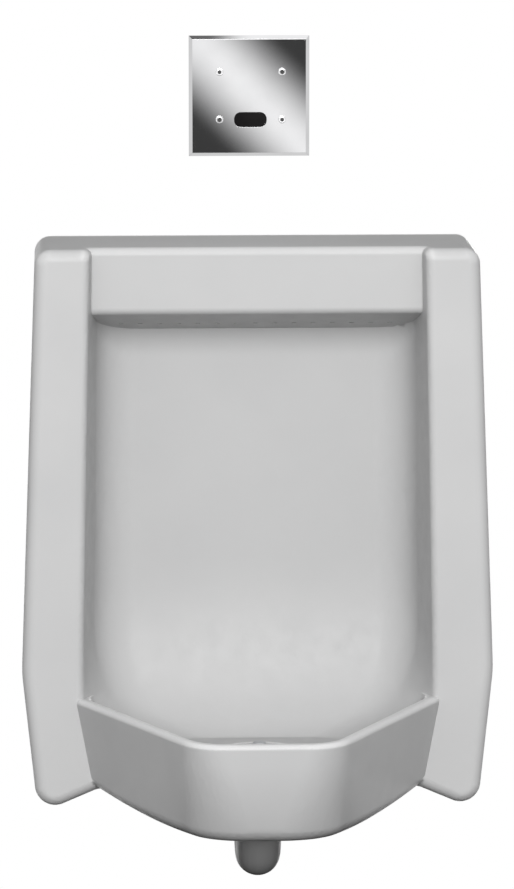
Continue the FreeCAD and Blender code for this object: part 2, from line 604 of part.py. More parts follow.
def valve_body():
    z = VALVE_Z
    body = rod_y(VALVE_D, VALVE_FRONT, VALVE_BACK, 0, z)
    body = body.fuse([rod_z(INLET_BOSS_D, z, INLET_TOP, 0, INLET_Y),
                      rod_z(OUT_BOSS_D, OUT_LOW, z, 0, PIPE_Y)]).removeSplitter()
    ring = rod_y(ANNULUS_D, SEAT_Y, ANNULUS_BACK, 0, z).cut(rod_y(NOZZLE_D, SEAT_Y, ANNULUS_BACK, 0, z))
    cuts = [rod_y(DIAPHRAGM_D, VALVE_FRONT, VALVE_FRONT + DIAPHRAGM_T, 0, z),
            rod_y(ANNULUS_D, VALVE_FRONT, SEAT_Y, 0, z), ring,
            rod_y(NOZZLE_BORE, SEAT_Y, NOZZLE_END, 0, z),
            rod_z(OUT_BORE, OUT_LOW, z, 0, PIPE_Y),
            rod_z(NECK_D, OUT_LOW, OUT_LOW + NECK_DEEP, 0, PIPE_Y),
            rod_z(INLET_BORE, z + NOZZLE_D / 2, INLET_TOP, 0, INLET_Y)]
    return carve(body, cuts)


def main_diaphragm():
    y = VALVE_FRONT
    disc = rod_y(DIAPHRAGM_D, y, y + DIAPHRAGM_T, 0, VALVE_Z)
    return disc.cut(rod_y(STEM_D, y, y + DIAPHRAGM_T, 0, VALVE_Z))


def main_poppet():
    y = VALVE_FRONT
    pad = rod_y(PAD_D, y + DIAPHRAGM_T, SEAT_Y, 0, VALVE_Z)
    cap = rod_y(CAP_D, y - CAP_T, y, 0, VALVE_Z)
    return pad.fuse([cap, rod_y(STEM_D, y - CAP_T, SEAT_Y, 0, VALVE_Z)]).removeSplitter()


def coil_spring(d, wire_d, turns, y0, y1):
    r = (d - wire_d) / 2
    low, high = y0 + wire_d / 2, y1 - wire_d / 2
    helix = Part.makeHelix((high - low) / turns, high - low, r)
    near, far, half = V(r - wire_d / 2, 0, 0), V(r + wire_d / 2, 0, 0), V(0, 0, wire_d / 2)
    arcs = [Part.Arc(far, V(r, 0, 0) + half, near), Part.Arc(near, V(r, 0, 0) - half, far)]
    ring = Part.Wire([arc.toShape() for arc in arcs])
    spring = Part.Wire(helix.Edges).makePipeShell([ring], True, True)
    spring.rotate(V(0, 0, 0), X, -90)
    spring.translate(V(0, low, VALVE_Z))
    return spring


def bonnet_room():
    return VALVE_FRONT - BONNET_CHAMBER


def poppet_spring():
    return coil_spring(MAIN_SPRING_D, MAIN_WIRE, MAIN_TURNS, bonnet_room(), VALVE_FRONT - CAP_T)


def plunger_seat():
    return bonnet_room() - PILOT_WALL


def valve_bonnet():
    end = bonnet_room() - BONNET_WALL
    body = rod_y(VALVE_D, end, VALVE_FRONT, 0, VALVE_Z)
    body = body.fuse(rod_y(GUIDE_D, GUIDE_FRONT, end, 0, VALVE_Z)).removeSplitter()
    return body.cut([rod_y(BONNET_CHAMBER_D, bonnet_room(), VALVE_FRONT, 0, VALVE_Z),
                     rod_y(PLUNGER_BORE, GUIDE_FRONT + GUIDE_END, plunger_seat(), 0, VALVE_Z),
                     rod_y(PILOT_D, plunger_seat(), bonnet_room(), 0, VALVE_Z)])


def solenoid_plunger():
    y = plunger_seat()
    return rod_y(PLUNGER_BORE - 2 * RUN_GAP, y - PLUNGER_LONG, y, 0, VALVE_Z)


def plunger_spring():
    return coil_spring(PILOT_SPRING_D, PILOT_WIRE, PILOT_TURNS, GUIDE_FRONT + GUIDE_END,
                       plunger_seat() - PLUNGER_LONG)


def solenoid_coil():
    end = bonnet_room() - BONNET_WALL
    return rod_y(COIL_D, COIL_FRONT, end, 0, VALVE_Z).cut(rod_y(GUIDE_D, COIL_FRONT, end, 0, VALVE_Z))


def stop_body():
    body = rod_z(STOP_D, INLET_TOP, STOP_TOP, 0, INLET_Y)
    body = body.fuse(rod_y(COCK_BOSS_D, COCK_FRONT, COCK_BACK, 0, COCK_Z)).removeSplitter()
    below = box(-STOP_D, STOP_D, COCK_FRONT, COCK_BACK, VALVE_Z, INLET_TOP)
    return carve(body, [below, rod_z(INLET_BORE, INLET_TOP, COCK_Z, 0, INLET_Y),
                        rod_z(NIPPLE_BORE, COCK_Z, STOP_TOP, 0, INLET_Y),
                        rod_z(NIPPLE_D, NIPPLE_LOW, STOP_TOP, 0, INLET_Y),
                        rod_y(COCK_BORE, COCK_FRONT, COCK_END, 0, COCK_Z)])


def stop_plug():
    d = COCK_BORE - 2 * RUN_GAP
    near = COCK_FRONT + GLAND_IN
    plug = rod_y(d, near, COCK_END, 0, COCK_Z)
    plug = plug.fuse(rod_y(SPINDLE_D, SPINDLE_FRONT, near, 0, COCK_Z)).removeSplitter()
    drive = box(-SPINDLE_D, SPINDLE_D, SPINDLE_FRONT, SPINDLE_FRONT + DRIVE_DEEP,
                COCK_Z - DRIVE_W / 2, COCK_Z + DRIVE_W / 2)
    return plug.cut([rod_z(COCK_WAY, COCK_Z - COCK_BORE, COCK_Z + COCK_BORE, 0, INLET_Y), drive])


def stop_gland():
    y = COCK_FRONT
    ring = hex_y(GLAND_AF, y - GLAND_T, y, 0, COCK_Z).fuse(rod_y(COCK_BORE, y, y + GLAND_IN, 0, COCK_Z))
    return ring.removeSplitter().cut(rod_y(SPINDLE_D + 2 * RUN_GAP, y - GLAND_T, y + GLAND_IN, 0, COCK_Z))


def supply_nipple():
    step = NIPPLE_TOP - SUPPLY_LONG
    body = rod_z(NIPPLE_D, NIPPLE_LOW, step, 0, INLET_Y).fuse(rod_z(SUPPLY_D, step, NIPPLE_TOP, 0, INLET_Y))
    return body.cut(rod_z(NIPPLE_BORE, NIPPLE_LOW, NIPPLE_TOP, 0, INLET_Y))


def nipple_locknut():
    z = PLATE_Z + BOX_W / 2
    return hex_z(NIPPLE_NUT_AF, z, z + NIPPLE_NUT_T, 0, INLET_Y).cut(
        rod_z(NIPPLE_D, z, z + NIPPLE_NUT_T, 0, INLET_Y))


def wall_box():
    half, inner = BOX_W / 2, BOX_W / 2 - BOX_WALL
    z0, z1 = PLATE_Z - half, PLATE_Z + half
    body = box(PLATE_X - half, PLATE_X + half, 0, BOX_DEEP, z0, z1)
    body = body.cut(box(PLATE_X - inner, PLATE_X + inner, 0, BOX_DEEP - BOX_WALL,
                        PLATE_Z - inner, PLATE_Z + inner))
    posts = []
    for sx in (-1, 1):
        for sz in (-1, 1):
            x = sorted((PLATE_X + sx * half, PLATE_X + sx * (inner - POST_W)))
            z = sorted((PLATE_Z + sz * half, PLATE_Z + sz * (inner - POST_W)))
            posts.append(box(x[0], x[1], FRAME_Y + FRAME_T, BOX_DEEP, z[0], z[1]))
    body = body.fuse(posts).removeSplitter()
    return body.cut([rod_z(NIPPLE_D + 2 * PORT_GAP, z1 - BOX_W / 4, z1, 0, INLET_Y),
                     rod_z(NECK_D + 2 * PORT_GAP, z0, z0 + BOX_W / 4, 0, PIPE_Y)])


def screw_points():
    return [(SCREW_X + sx * SCREW_PITCH_X / 2, SCREW_Z + sz * SCREW_PITCH_Z / 2)
            for sz in (1, -1) for sx in (-1, 1)]


def mounting_frame():
    half = BOX_W / 2 - BOX_WALL - FRAME_GAP
    y0, y1 = FRAME_Y, FRAME_Y + FRAME_T
    frame = box(PLATE_X - half, PLATE_X + half, y0, y1, PLATE_Z - half, PLATE_Z + half)
    frame = frame.cut(box(WINDOW_X - FRAME_OPEN_W / 2, WINDOW_X + FRAME_OPEN_W / 2, y0, y1,
                          PLATE_Z - FRAME_OPEN_H / 2, PLATE_Z + FRAME_OPEN_H / 2))
    bosses = [rod_y(BOSS_D, y0, y1 + BOSS_LONG, x, z) for x, z in screw_points()]
    frame = frame.fuse(bosses).removeSplitter()
    return frame.cut([rod_y(SCREW_D, y0, y1 + BOSS_LONG, x, z) for x, z in screw_points()])


def pack_left():
    return PLATE_X - BOX_W / 2 + BOX_WALL


def cell_points():
    x, y = pack_left() + PACK_W / 2, PACK_FRONT + PACK_W / 2
    return [(x + sx * CELL_PITCH / 2, y + sy * CELL_PITCH / 2) for sy in (-1, 1) for sx in (-1, 1)]


def pack_top():
    return PACK_LOW + PACK_FLOOR + CELL_LONG + PACK_HEAD


def battery_case():
    case = box(pack_left(), pack_left() + PACK_W, PACK_FRONT, PACK_FRONT + PACK_W, PACK_LOW, pack_top())
    return case.cut([rod_z(CELL_D + 2 * CELL_GAP, PACK_LOW + PACK_FLOOR, pack_top(), x, y)
                     for x, y in cell_points()])


def battery_cell(x, y):
    low = PACK_LOW + PACK_FLOOR
    return rod_z(CELL_D, low, low + CELL_LONG, x, y).fuse(
        rod_z(CELL_D / 3, low, low + CELL_LONG + PACK_HEAD, x, y)).removeSplitter()


def battery_lid():
    return box(pack_left(), pack_left() + PACK_W, PACK_FRONT, PACK_FRONT + PACK_W,
               pack_top(), pack_top() + PACK_LID_T)


def window_prism(grow, y0, y1):
    w, h, r = WINDOW_W / 2 + grow, WINDOW_H / 2 + grow, WINDOW_R + grow
    corners = [(WINDOW_X + sx * w, WINDOW_Z + sz * h, r) for sx, sz in ((1, 1), (1, -1), (-1, -1), (-1, 1))]
    return Part.Face(wire(corners, lambda q: V(q.x, y0, q.y))).extrude(Y * (y1 - y0))


def sensor_window():
    return window_prism(0, -PLATE_T - WINDOW_PROUD, WINDOW_IN)


def housing_block(inset, y0, y1):
    w, h = HOUSING_W / 2 - inset, HOUSING_H / 2 - inset
    return box(WINDOW_X - w, WINDOW_X + w, y0, y1, WINDOW_Z - h, WINDOW_Z + h)


def sensor_housing():
    body = housing_block(0, 0, HOUSING_DEEP)
    return body.cut([housing_block(HOUSING_WALL, BOARD_Y, HOUSING_DEEP), window_prism(0, 0, WINDOW_IN)])


def sensor_board():
    return housing_block(HOUSING_WALL + BOARD_GAP, BOARD_Y, BOARD_Y + BOARD_T)


def cover_plate():
    half = PLATE_W / 2
    plate = box(PLATE_X - half, PLATE_X + half, -PLATE_T, 0, PLATE_Z - half, PLATE_Z + half)
    face = min(plate.Faces, key=lambda f: f.CenterOfMass.y)
    plate = plate.makeChamfer(PLATE_BEVEL, face.OuterWire.Edges)
    holes = [rod_y(SCREW_HOLE, -PLATE_T, 0, x, z) for x, z in screw_points()]
    return plate.cut(holes + [window_prism(WINDOW_GAP, -PLATE_T, 0)])


def plate_screw(x, z):
    near = -PLATE_T - BUTTON_T
    head = rod_y(BUTTON_D, near, -PLATE_T, x, z)
    head = head.makeFillet(BUTTON_T / 2, [min(head.Edges, key=lambda e: e.CenterOfMass.y)])
    return head.fuse(rod_y(SCREW_D, -PLATE_T, SCREW_TIP, x, z)).removeSplitter().cut(
        hex_y(KEY_AF, near, near + KEY_DEEP, x, z))


def pieces():
    made = {
        "china_body": china_body(),
        "drain_strainer": drain_strainer(),
        "outlet_gasket": outlet_gasket(),
        "outlet_flange": outlet_flange(),
        "spud_sleeve": spud_sleeve(),
        "inlet_spud": inlet_spud(),
        "spud_washer": spud_washer(),
        "spud_locknut": spud_locknut(),
        "elbow_nut": elbow_nut(),
        "flush_elbow": flush_elbow(),
        "flush_tube": flush_tube(),
        "slip_gasket": slip_gasket(),
        "slip_nut": slip_nut(),
        "breaker_body": breaker_body(),
        "breaker_float": breaker_float(),
        "valve_body": valve_body(),
        "main_diaphragm": main_diaphragm(),
        "main_poppet": main_poppet(),
        "poppet_spring": poppet_spring(),
        "valve_bonnet": valve_bonnet(),
        "solenoid_coil": solenoid_coil(),
        "solenoid_plunger": solenoid_plunger(),
        "plunger_spring": plunger_spring(),
        "stop_body": stop_body(),
        "stop_plug": stop_plug(),
        "stop_gland": stop_gland(),
        "supply_nipple": supply_nipple(),
        "nipple_locknut": nipple_locknut(),
        "wall_box": wall_box(),
        "mounting_frame": mounting_frame(),
        "battery_case": battery_case(),
        "battery_lid": battery_lid(),
        "sensor_housing": sensor_housing(),
        "sensor_board": sensor_board(),
        "sensor_window": sensor_window(),
        "cover_plate": cover_plate(),
    }
    for side, x in (("left", -1), ("right", 1)):
        made["outlet_bolt_" + side] = outlet_bolt(x * BOLT_X)
        made["outlet_nut_" + side] = outlet_nut(x * BOLT_X)
        made["hanger_" + side] = hanger(x * HANGER_X)
        for i, z in enumerate(hanger_screw_levels(), 1):
            made["hanger_screw_" + side + "_" + str(i)] = hanger_screw(x * HANGER_X, z)
    for i, (x, y) in enumerate(cell_points(), 1):
        made["battery_cell_" + str(i)] = battery_cell(x, y)
    for i, (x, z) in enumerate(screw_points(), 1):
        made["plate_screw_" + str(i)] = plate_screw(x, z)
    return made


def main():
    os.makedirs("parts", exist_ok=True)
    for name, shape in pieces().items():
        shape.exportStep("parts/" + name + ".step")


if __name__ == "__main__":
    main()
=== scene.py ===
"""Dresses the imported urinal: glazed china, a polished cover plate and the fittings behind the wall."""

import json
import math

import bmesh
import bpy
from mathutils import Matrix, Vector


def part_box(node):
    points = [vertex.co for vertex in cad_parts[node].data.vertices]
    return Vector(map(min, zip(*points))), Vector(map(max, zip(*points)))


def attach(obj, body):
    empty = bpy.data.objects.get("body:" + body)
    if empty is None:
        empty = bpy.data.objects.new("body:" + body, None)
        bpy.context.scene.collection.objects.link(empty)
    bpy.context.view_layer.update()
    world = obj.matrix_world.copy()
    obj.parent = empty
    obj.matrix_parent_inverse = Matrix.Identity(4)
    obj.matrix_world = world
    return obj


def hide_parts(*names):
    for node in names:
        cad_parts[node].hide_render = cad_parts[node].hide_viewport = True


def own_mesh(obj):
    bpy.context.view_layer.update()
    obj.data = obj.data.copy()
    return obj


bl_info = {
    "name": "Wall-hung urinal",
    "version": (1, 0, 0),
    "blender": (4, 5, 0),
    "location": "View3D > Sidebar > Urinal",
    "description": "Builds the looks of a wall-hung urinal with an in-wall sensor flush valve",
    "category": "Object",
}

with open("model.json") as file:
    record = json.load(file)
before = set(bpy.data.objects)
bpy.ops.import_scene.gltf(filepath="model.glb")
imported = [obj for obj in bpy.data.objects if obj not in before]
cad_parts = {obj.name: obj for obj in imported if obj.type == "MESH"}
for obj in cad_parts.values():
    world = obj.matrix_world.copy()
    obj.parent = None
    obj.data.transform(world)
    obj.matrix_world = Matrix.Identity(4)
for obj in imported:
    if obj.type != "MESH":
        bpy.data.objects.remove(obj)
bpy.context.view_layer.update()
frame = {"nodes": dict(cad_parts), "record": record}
CHINA_LOW, CHINA_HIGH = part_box("china_body")
PLATE_LOW, PLATE_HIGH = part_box("cover_plate")
SCREWS = ("plate_screw_1", "plate_screw_2", "plate_screw_3", "plate_screw_4")
SCREW_LOW, SCREW_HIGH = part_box(SCREWS[0])

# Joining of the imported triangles, rounding of edges and shading of creases
MERGE_NEAR = 2e-6
FLAT_ANGLE = math.radians(0.4)
EDGE_ANGLE, EDGE_STEPS = math.radians(40), 2
SOFT_CREASE, CRISP_CREASE = math.radians(32), math.radians(35)
PANEL_EDGE, CASE_EDGE, GRATE_EDGE = 0.0004, 0.0003, 0.0002

# Cuts across the bowl's front: their directions, how many in each, and how near one may pass an old corner
UP, INWARD = Vector((0.0, 0.0, 1.0)), Vector((0.0, 1.0, 0.0))
BELLY_CUTS = 12
CUT_NEAR = 1e-5

# Plate screws: sides of the round parts, dome and shank as shares of the head, slack around the socket,
# and the screws' and the stop plug's roughness against the plate's
HEAD_SIDES, SHANK_SIDES, SOCKET_SIDES = 48, 32, 6
DOME_SHARE, DOME_STEPS, SHANK_SHARE = 0.95, 8, 0.22
SOCKET_NEAR, SOCKET_SLACK = 1e-5, 1.01
SCREW_ROUGHER, PLUG_ROUGHER = 1.4, 2.0

# Fineness of the patterns, as noise scales on metres
GLAZE_CLOUDS, GLAZE_WEAR, GLAZE_WAVES = 9.0, 60.0, 14.0
POLISH_STREAKS, POLISH_TONES = 60.0, 30.0
WINDOW_CLOUDS, WINDOW_WEAR = 140.0, 300.0
METAL_GRAIN, WEAR_FINER = 900.0, 3.0
MOULD_TONES, MOULD_WEAR = 45.0, 90.0

# Glaze: samples of the painted shade in its hollows and of the painted highlight on its edges, where an
# edge's highlight is full and where it ends, and how far up it faces
GLAZE_SAMPLES = 16
EDGE_FULL, EDGE_END, EDGE_UP = 0.65, 0.95, 0.4
GLAZE_SPECULAR, GLAZE_BUMP = 0.15, 0.015

# Spread of roughness over a surface, and how the second tone of a finish differs from the first
SMOOTHER, ROUGHER = 0.8, 1.3
DULL_SHARE, DEEP_SHARE = 0.95, 0.6
PALE_SHARE, PALE_LIFT = 1.35, 0.01
WINDOW_SMOOTH, WINDOW_ROUGH, WINDOW_SPECULAR = 0.04, 0.09, 0.12
GRAIN_DEPTH, METAL_BUMP, MOULD_BUMP = 0.0002, 0.15, 0.2
PATCH_START, PATCH_END = 0.35, 0.75

# Stage: size of the room, how much light its surfaces throw back, and the frame's height on the camera
ROOM = 6.0
ROOM_BOUNCE, ROOM_ROUGHNESS, FLAG_BOUNCE = 0.15, 0.9, 0.02
FRAME_HEIGHT = 36.0


class ChinaSettings(bpy.types.PropertyGroup):
    """Glaze of the china."""

    glaze: bpy.props.FloatVectorProperty(
        name="Glaze", description="Main colour of the glaze", subtype="COLOR",
        default=(0.645, 0.645, 0.645))
    thin_glaze: bpy.props.FloatVectorProperty(
        name="Thin glaze", description="Colour where the glaze runs thin", subtype="COLOR",
        default=(0.615, 0.616, 0.618))
    gloss: bpy.props.FloatProperty(
        name="Roughness", description="Roughness of the glaze", subtype="FACTOR", min=0.0, max=1.0,
        default=0.36)
    # Painted shade: a darker glaze colour laid into the hollows by ambient occlusion, standing in for the
    # shade that falls there
    painted_shade: bpy.props.FloatVectorProperty(
        name="Painted shade", description="Colour of the shade painted into the hollows", subtype="COLOR",
        default=(0.39, 0.39, 0.39))
    painted_shade_reach: bpy.props.FloatProperty(
        name="Painted shade reach", description="How wide a hollow still takes painted shade", unit="LENGTH",
        default=0.4)
    # Painted highlight: a lighter glaze colour laid on rounded edges that face up, standing in for the
    # light they catch
    painted_edge_highlight: bpy.props.FloatVectorProperty(
        name="Painted edge highlight", description="Colour of the highlight painted on the rounded edges that face up",
        subtype="COLOR", default=(0.92, 0.92, 0.92))
    edge_highlight_reach: bpy.props.FloatProperty(
        name="Edge highlight reach", description="How far from an edge the highlight is painted", unit="LENGTH",
        default=0.01)
    belly_tuck: bpy.props.FloatProperty(
        name="Belly tuck", description="How far the bowl's lower edge is rounded under", unit="LENGTH",
        default=0.016)
    belly_drop: bpy.props.FloatProperty(
        name="Belly drop", description="How far the bowl's lower edge comes down as it is rounded",
        unit="LENGTH", default=0.0025)
    belly_top: bpy.props.FloatProperty(
        name="Belly top", description="Height where the bowl's front starts to round under", unit="LENGTH",
        default=0.055)
    belly_low: bpy.props.FloatProperty(
        name="Belly low", description="Height of the bowl's lower edge", unit="LENGTH", default=-0.025)
    belly_back: bpy.props.FloatProperty(
        name="Belly back", description="Depth where the rounding of the bowl's front begins", unit="LENGTH",
        default=0.24)
    dusty: bpy.props.FloatProperty(
        name="Dusty roughness", description="Roughness of the ledge on top", subtype="FACTOR",
        min=0.0, max=1.0, default=0.9)
    ledge: bpy.props.FloatProperty(
        name="Ledge", description="Height of the dusty ledge at the top", unit="LENGTH", default=0.008)
    ripple: bpy.props.FloatProperty(
        name="Ripple", description="Depth of the soft waves in the glaze", unit="LENGTH", default=0.0004)
    crease: bpy.props.FloatProperty(
        name="Crease angle", description="Edges sharper than this stay crisp", subtype="ANGLE",
        default=math.radians(28))


class PlateSettings(bpy.types.PropertyGroup):
    """Cover plate, its screws and the sensor window."""

    chrome: bpy.props.FloatVectorProperty(
        name="Chrome", description="Colour of the polished plate", subtype="COLOR",
        default=(0.620, 0.620, 0.627))
    nickel: bpy.props.FloatVectorProperty(
        name="Nickel", description="Colour of the polished screws and plug", subtype="COLOR",
        default=(0.86, 0.86, 0.87))
    polish: bpy.props.FloatProperty(
        name="Roughness", description="Roughness of the polished plate", subtype="FACTOR",
        min=0.0, max=1.0, default=0.03)
    edge: bpy.props.FloatProperty(
        name="Edge", description="Rounding of the plate's edges", unit="LENGTH", default=0.0004)
    head_width: bpy.props.FloatProperty(
        name="Screw head", description="Width of a screw's head", unit="LENGTH",
        default=SCREW_HIGH.x - SCREW_LOW.x)
    head_height: bpy.props.FloatProperty(
        name="Head height", description="Height of a screw's head", unit="LENGTH",
        default=PLATE_LOW.y - SCREW_LOW.y)
    socket_width: bpy.props.FloatProperty(
        name="Socket", description="Width of the hexagon socket across its corners", unit="LENGTH",
        default=0.0042)
    socket_depth: bpy.props.FloatProperty(
        name="Socket depth", description="Depth of the hexagon socket", unit="LENGTH", default=0.0014)
    # Socket shade: a near-black colour painted into the hexagon socket as its shade
    socket_shade: bpy.props.FloatVectorProperty(
        name="Socket shade", description="Colour inside the hexagon socket", subtype="COLOR",
        default=(0.008, 0.008, 0.008))
    window: bpy.props.FloatVectorProperty(
        name="Window", description="Colour of the sensor window", subtype="COLOR",
        default=(0.007, 0.006, 0.0065))


class FittingSettings(bpy.types.PropertyGroup):
    """Metal, rubber and plastic of the fittings."""

    brass: bpy.props.FloatVectorProperty(
        name="Brass", description="Clean brass", subtype="COLOR", default=(0.72, 0.53, 0.25))
    tarnish: bpy.props.FloatVectorProperty(
        name="Tarnish", description="Dull patches on brass", subtype="COLOR", default=(0.42, 0.30, 0.14))
    steel: bpy.props.FloatVectorProperty(
        name="Steel", description="Plated steel", subtype="COLOR", default=(0.60, 0.61, 0.62))
    zinc: bpy.props.FloatVectorProperty(
        name="Zinc", description="Dark spangles of the plating", subtype="COLOR",
        default=(0.44, 0.45, 0.47))
    rubber: bpy.props.FloatVectorProperty(
        name="Rubber", description="Gaskets and diaphragm", subtype="COLOR", default=(0.022, 0.022, 0.023))
    plastic: bpy.props.FloatVectorProperty(
        name="Plastic", description="Moulded cases", subtype="COLOR", default=(0.030, 0.031, 0.033))
    coil: bpy.props.FloatVectorProperty(
        name="Coil", description="Moulded coil", subtype="COLOR", default=(0.035, 0.085, 0.20))
    float_white: bpy.props.FloatVectorProperty(
        name="Float", description="Vacuum breaker's float", subtype="COLOR", default=(0.68, 0.68, 0.65))
    sleeve: bpy.props.FloatVectorProperty(
        name="Cell sleeve", description="Sleeve of a battery cell", subtype="COLOR",
        default=(0.16, 0.17, 0.18))
    laminate: bpy.props.FloatVectorProperty(
        name="Board", description="Sensor board's laminate", subtype="COLOR", default=(0.02, 0.13, 0.06))


class StageSettings(bpy.types.PropertyGroup):
    """Camera, light, wall, floor, flag and the cards that the plate mirrors."""

    camera_place: bpy.props.FloatVectorProperty(
        name="Camera", description="Place of the camera", subtype="TRANSLATION", unit="LENGTH",
        default=(-0.195, -5.0, 1.105))
    camera_aim: bpy.props.FloatVectorProperty(
        name="Aim", description="Point that the camera looks at", subtype="TRANSLATION", unit="LENGTH",
        default=(0.004, 0.0, 0.308))
    lens: bpy.props.FloatProperty(
        name="Lens", description="Focal length on a frame 36 mm high, in millimetres", default=204.0)
    key_power: bpy.props.FloatProperty(
        name="Front light", description="Power of the large front light", unit="POWER", default=635.0)
    key_place: bpy.props.FloatVectorProperty(
        name="Front light place", description="Place of the large front light", subtype="TRANSLATION",
        unit="LENGTH", default=(0.0, -7.6, 3.5))
    key_size: bpy.props.FloatProperty(
        name="Front light size", description="Width of the large front light", unit="LENGTH", default=4.8)
    back_power: bpy.props.FloatProperty(
        name="Back light", description="Power of the light behind the wall", unit="POWER", default=150.0)
    back_place: bpy.props.FloatVectorProperty(
        name="Back light place", description="Place of the light behind the wall", subtype="TRANSLATION",
        unit="LENGTH", default=(0.4, 4.0, 0.0))
    back_size: bpy.props.FloatProperty(
        name="Back light size", description="Width of the light behind the wall", unit="LENGTH",
        default=0.6)
    fill: bpy.props.FloatProperty(
        name="Fill", description="Brightness of the surroundings", default=0.2)
    floor_height: bpy.props.FloatProperty(
        name="Floor", description="Height of the floor below the outlet", unit="LENGTH", default=-0.526)
    floor_glow: bpy.props.FloatProperty(
        name="Floor glow", description="Brightness that the floor keeps in the object's shadow",
        default=0.8)
    floor_tint: bpy.props.FloatProperty(
        name="Floor tint", description="Share of the light that the floor shows", subtype="FACTOR",
        min=0.0, max=1.0, default=0.5)
    flag_size: bpy.props.FloatProperty(
        name="Flag size", description="Width of the dark cloth under the china", unit="LENGTH",
        default=0.75)
    flag_height: bpy.props.FloatProperty(
        name="Flag height", description="Height of the dark cloth", unit="LENGTH", default=-0.15)
    card_centre: bpy.props.FloatVectorProperty(
        name="Card", description="Middle of the card that the plate mirrors", subtype="TRANSLATION",
        unit="LENGTH", default=(0.0443, -1.2, 0.5555))
    card_size: bpy.props.FloatProperty(
        name="Card size", description="Width of the card", unit="LENGTH", default=0.26)
    card_band: bpy.props.FloatProperty(
        name="Band", description="Reach of the bright band on the card", unit="LENGTH", default=0.105)
    card_dark: bpy.props.FloatProperty(
        name="Card's dark", description="Brightness of the card's corners", default=0.069)
    card_bright: bpy.props.FloatProperty(
        name="Card's bright", description="Brightness of the card's band and of the hood", default=1.39)
    hood_dark: bpy.props.FloatProperty(
        name="Hood's dark", description="Brightness of the hood's left end", default=0.22)
    hood_shade: bpy.props.FloatProperty(
        name="Hood's shade", description="Width of the dark left end of the hood", unit="LENGTH",
        default=0.025)
    wall_gap: bpy.props.FloatProperty(
        name="Wall gap", description="Gap between the back of the china and the wall's face", unit="LENGTH",
        default=0.0004)


SETTINGS = {
    "urinal_china": ChinaSettings,
    "urinal_plate": PlateSettings,
    "urinal_fittings": FittingSettings,
    "urinal_stage": StageSettings,
}


# Helpers for modelling

def smooth_step(share):
    """From 0 to 1 with a soft start and end."""
    share = min(max(share, 0.0), 1.0)
    return share * share * (3.0 - 2.0 * share)


def choose(obj):
    bpy.ops.object.select_all(action="DESELECT")
    obj.select_set(True)
    bpy.context.view_layer.objects.active = obj


def apply_modifiers(obj):
    choose(obj)
    for modifier in list(obj.modifiers):
        bpy.ops.object.modifier_apply(modifier=modifier.name)


def even_normals(obj, crease):
    choose(obj)
    bpy.ops.object.shade_smooth_by_angle(angle=crease)
    weigh = obj.modifiers.new("even", "WEIGHTED_NORMAL")
    weigh.keep_sharp = True
    apply_modifiers(obj)


def merged_copy(node, crease=SOFT_CREASE, edge=0.0):
    """A copy of a node's mesh with its triangles joined, fine edges rounded and even normals."""
    piece = bpy.data.objects.new(node + "_skin", frame["nodes"][node].data.copy())
    bpy.context.scene.collection.objects.link(piece)
    choose(piece)
    bpy.ops.object.mode_set(mode="EDIT")
    bpy.ops.mesh.select_all(action="SELECT")
    bpy.ops.mesh.remove_doubles(threshold=MERGE_NEAR)
    bpy.ops.mesh.dissolve_limited(angle_limit=FLAT_ANGLE)
    bpy.ops.object.mode_set(mode="OBJECT")
    if edge:
        rounding = piece.modifiers.new("edge", "BEVEL")
        rounding.width = edge
        rounding.segments = EDGE_STEPS
        rounding.limit_method = "ANGLE"
        rounding.angle_limit = EDGE_ANGLE
        rounding.harden_normals = False
        apply_modifiers(piece)
    even_normals(piece, crease)
    return piece


def dress(piece, node, finish):
    """Gives the piece its finish and lets it stand for its node."""
    record = frame["record"]
    piece.data.materials.clear()
    piece.data.materials.append(finish)
    body = next(b for b, nodes in record["behaviour"]["bodies"].items() if node in nodes)
    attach(piece, body)
    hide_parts(node)


def dress_nodes(nodes, finish, edge=0.0):
    for node in nodes:
        dress(merged_copy(node, edge=edge), node, finish)


# Helpers for materials

def new_material(name):
    material = bpy.data.materials.new(name)
    material.use_nodes = True
    tree = material.node_tree
    return material, tree, tree.nodes["Principled BSDF"]


def noise(tree, scale, detail=3.0, stretch=(1.0, 1.0, 1.0)):
    place = tree.nodes.new("ShaderNodeTexCoord")
    mapping = tree.nodes.new("ShaderNodeMapping")
    mapping.inputs["Scale"].default_value = stretch
    texture = tree.nodes.new("ShaderNodeTexNoise")
    texture.inputs["Scale"].default_value = scale
    texture.inputs["Detail"].default_value = detail
    tree.links.new(place.outputs["Object"], mapping.inputs["Vector"])
    tree.links.new(mapping.outputs["Vector"], texture.inputs["Vector"])
    return texture.outputs["Fac"]


def axes(tree, kind="Object"):
    """X, Y and Z of the place on a piece, or of the way its surface faces where kind is Normal."""
    place = tree.nodes.new("ShaderNodeTexCoord")
    split = tree.nodes.new("ShaderNodeSeparateXYZ")
    tree.links.new(place.outputs[kind], split.inputs["Vector"])
    return split.outputs


def openness(tree, reach, inside=False):
    """1 on an open surface, less in a hollow, or with inside less on an edge."""
    node = tree.nodes.new("ShaderNodeAmbientOcclusion")
    node.only_local = True
    node.inside = inside
    node.samples = GLAZE_SAMPLES
    node.inputs["Distance"].default_value = reach
    return node.outputs["AO"]


def spread(tree, source, low, high, start=0.3, end=0.7):
    """Carries a source that runs from start to end over to low and high."""
    ranged = tree.nodes.new("ShaderNodeMapRange")
    ranged.inputs["From Min"].default_value = start
    ranged.inputs["From Max"].default_value = end
    ranged.inputs["To Min"].default_value = low
    ranged.inputs["To Max"].default_value = high
    tree.links.new(source, ranged.inputs["Value"])
    return ranged.outputs["Result"]


def join_values(tree, operation, first, second=None):
    """One step of arithmetic on one or two values, each a socket or a number."""
    node = tree.nodes.new("ShaderNodeMath")
    node.operation = operation
    for socket, value in zip(node.inputs, (first, second)):
        if isinstance(value, float):
            socket.default_value = value
        elif value is not None:
            tree.links.new(value, socket)
    return node.outputs[0]


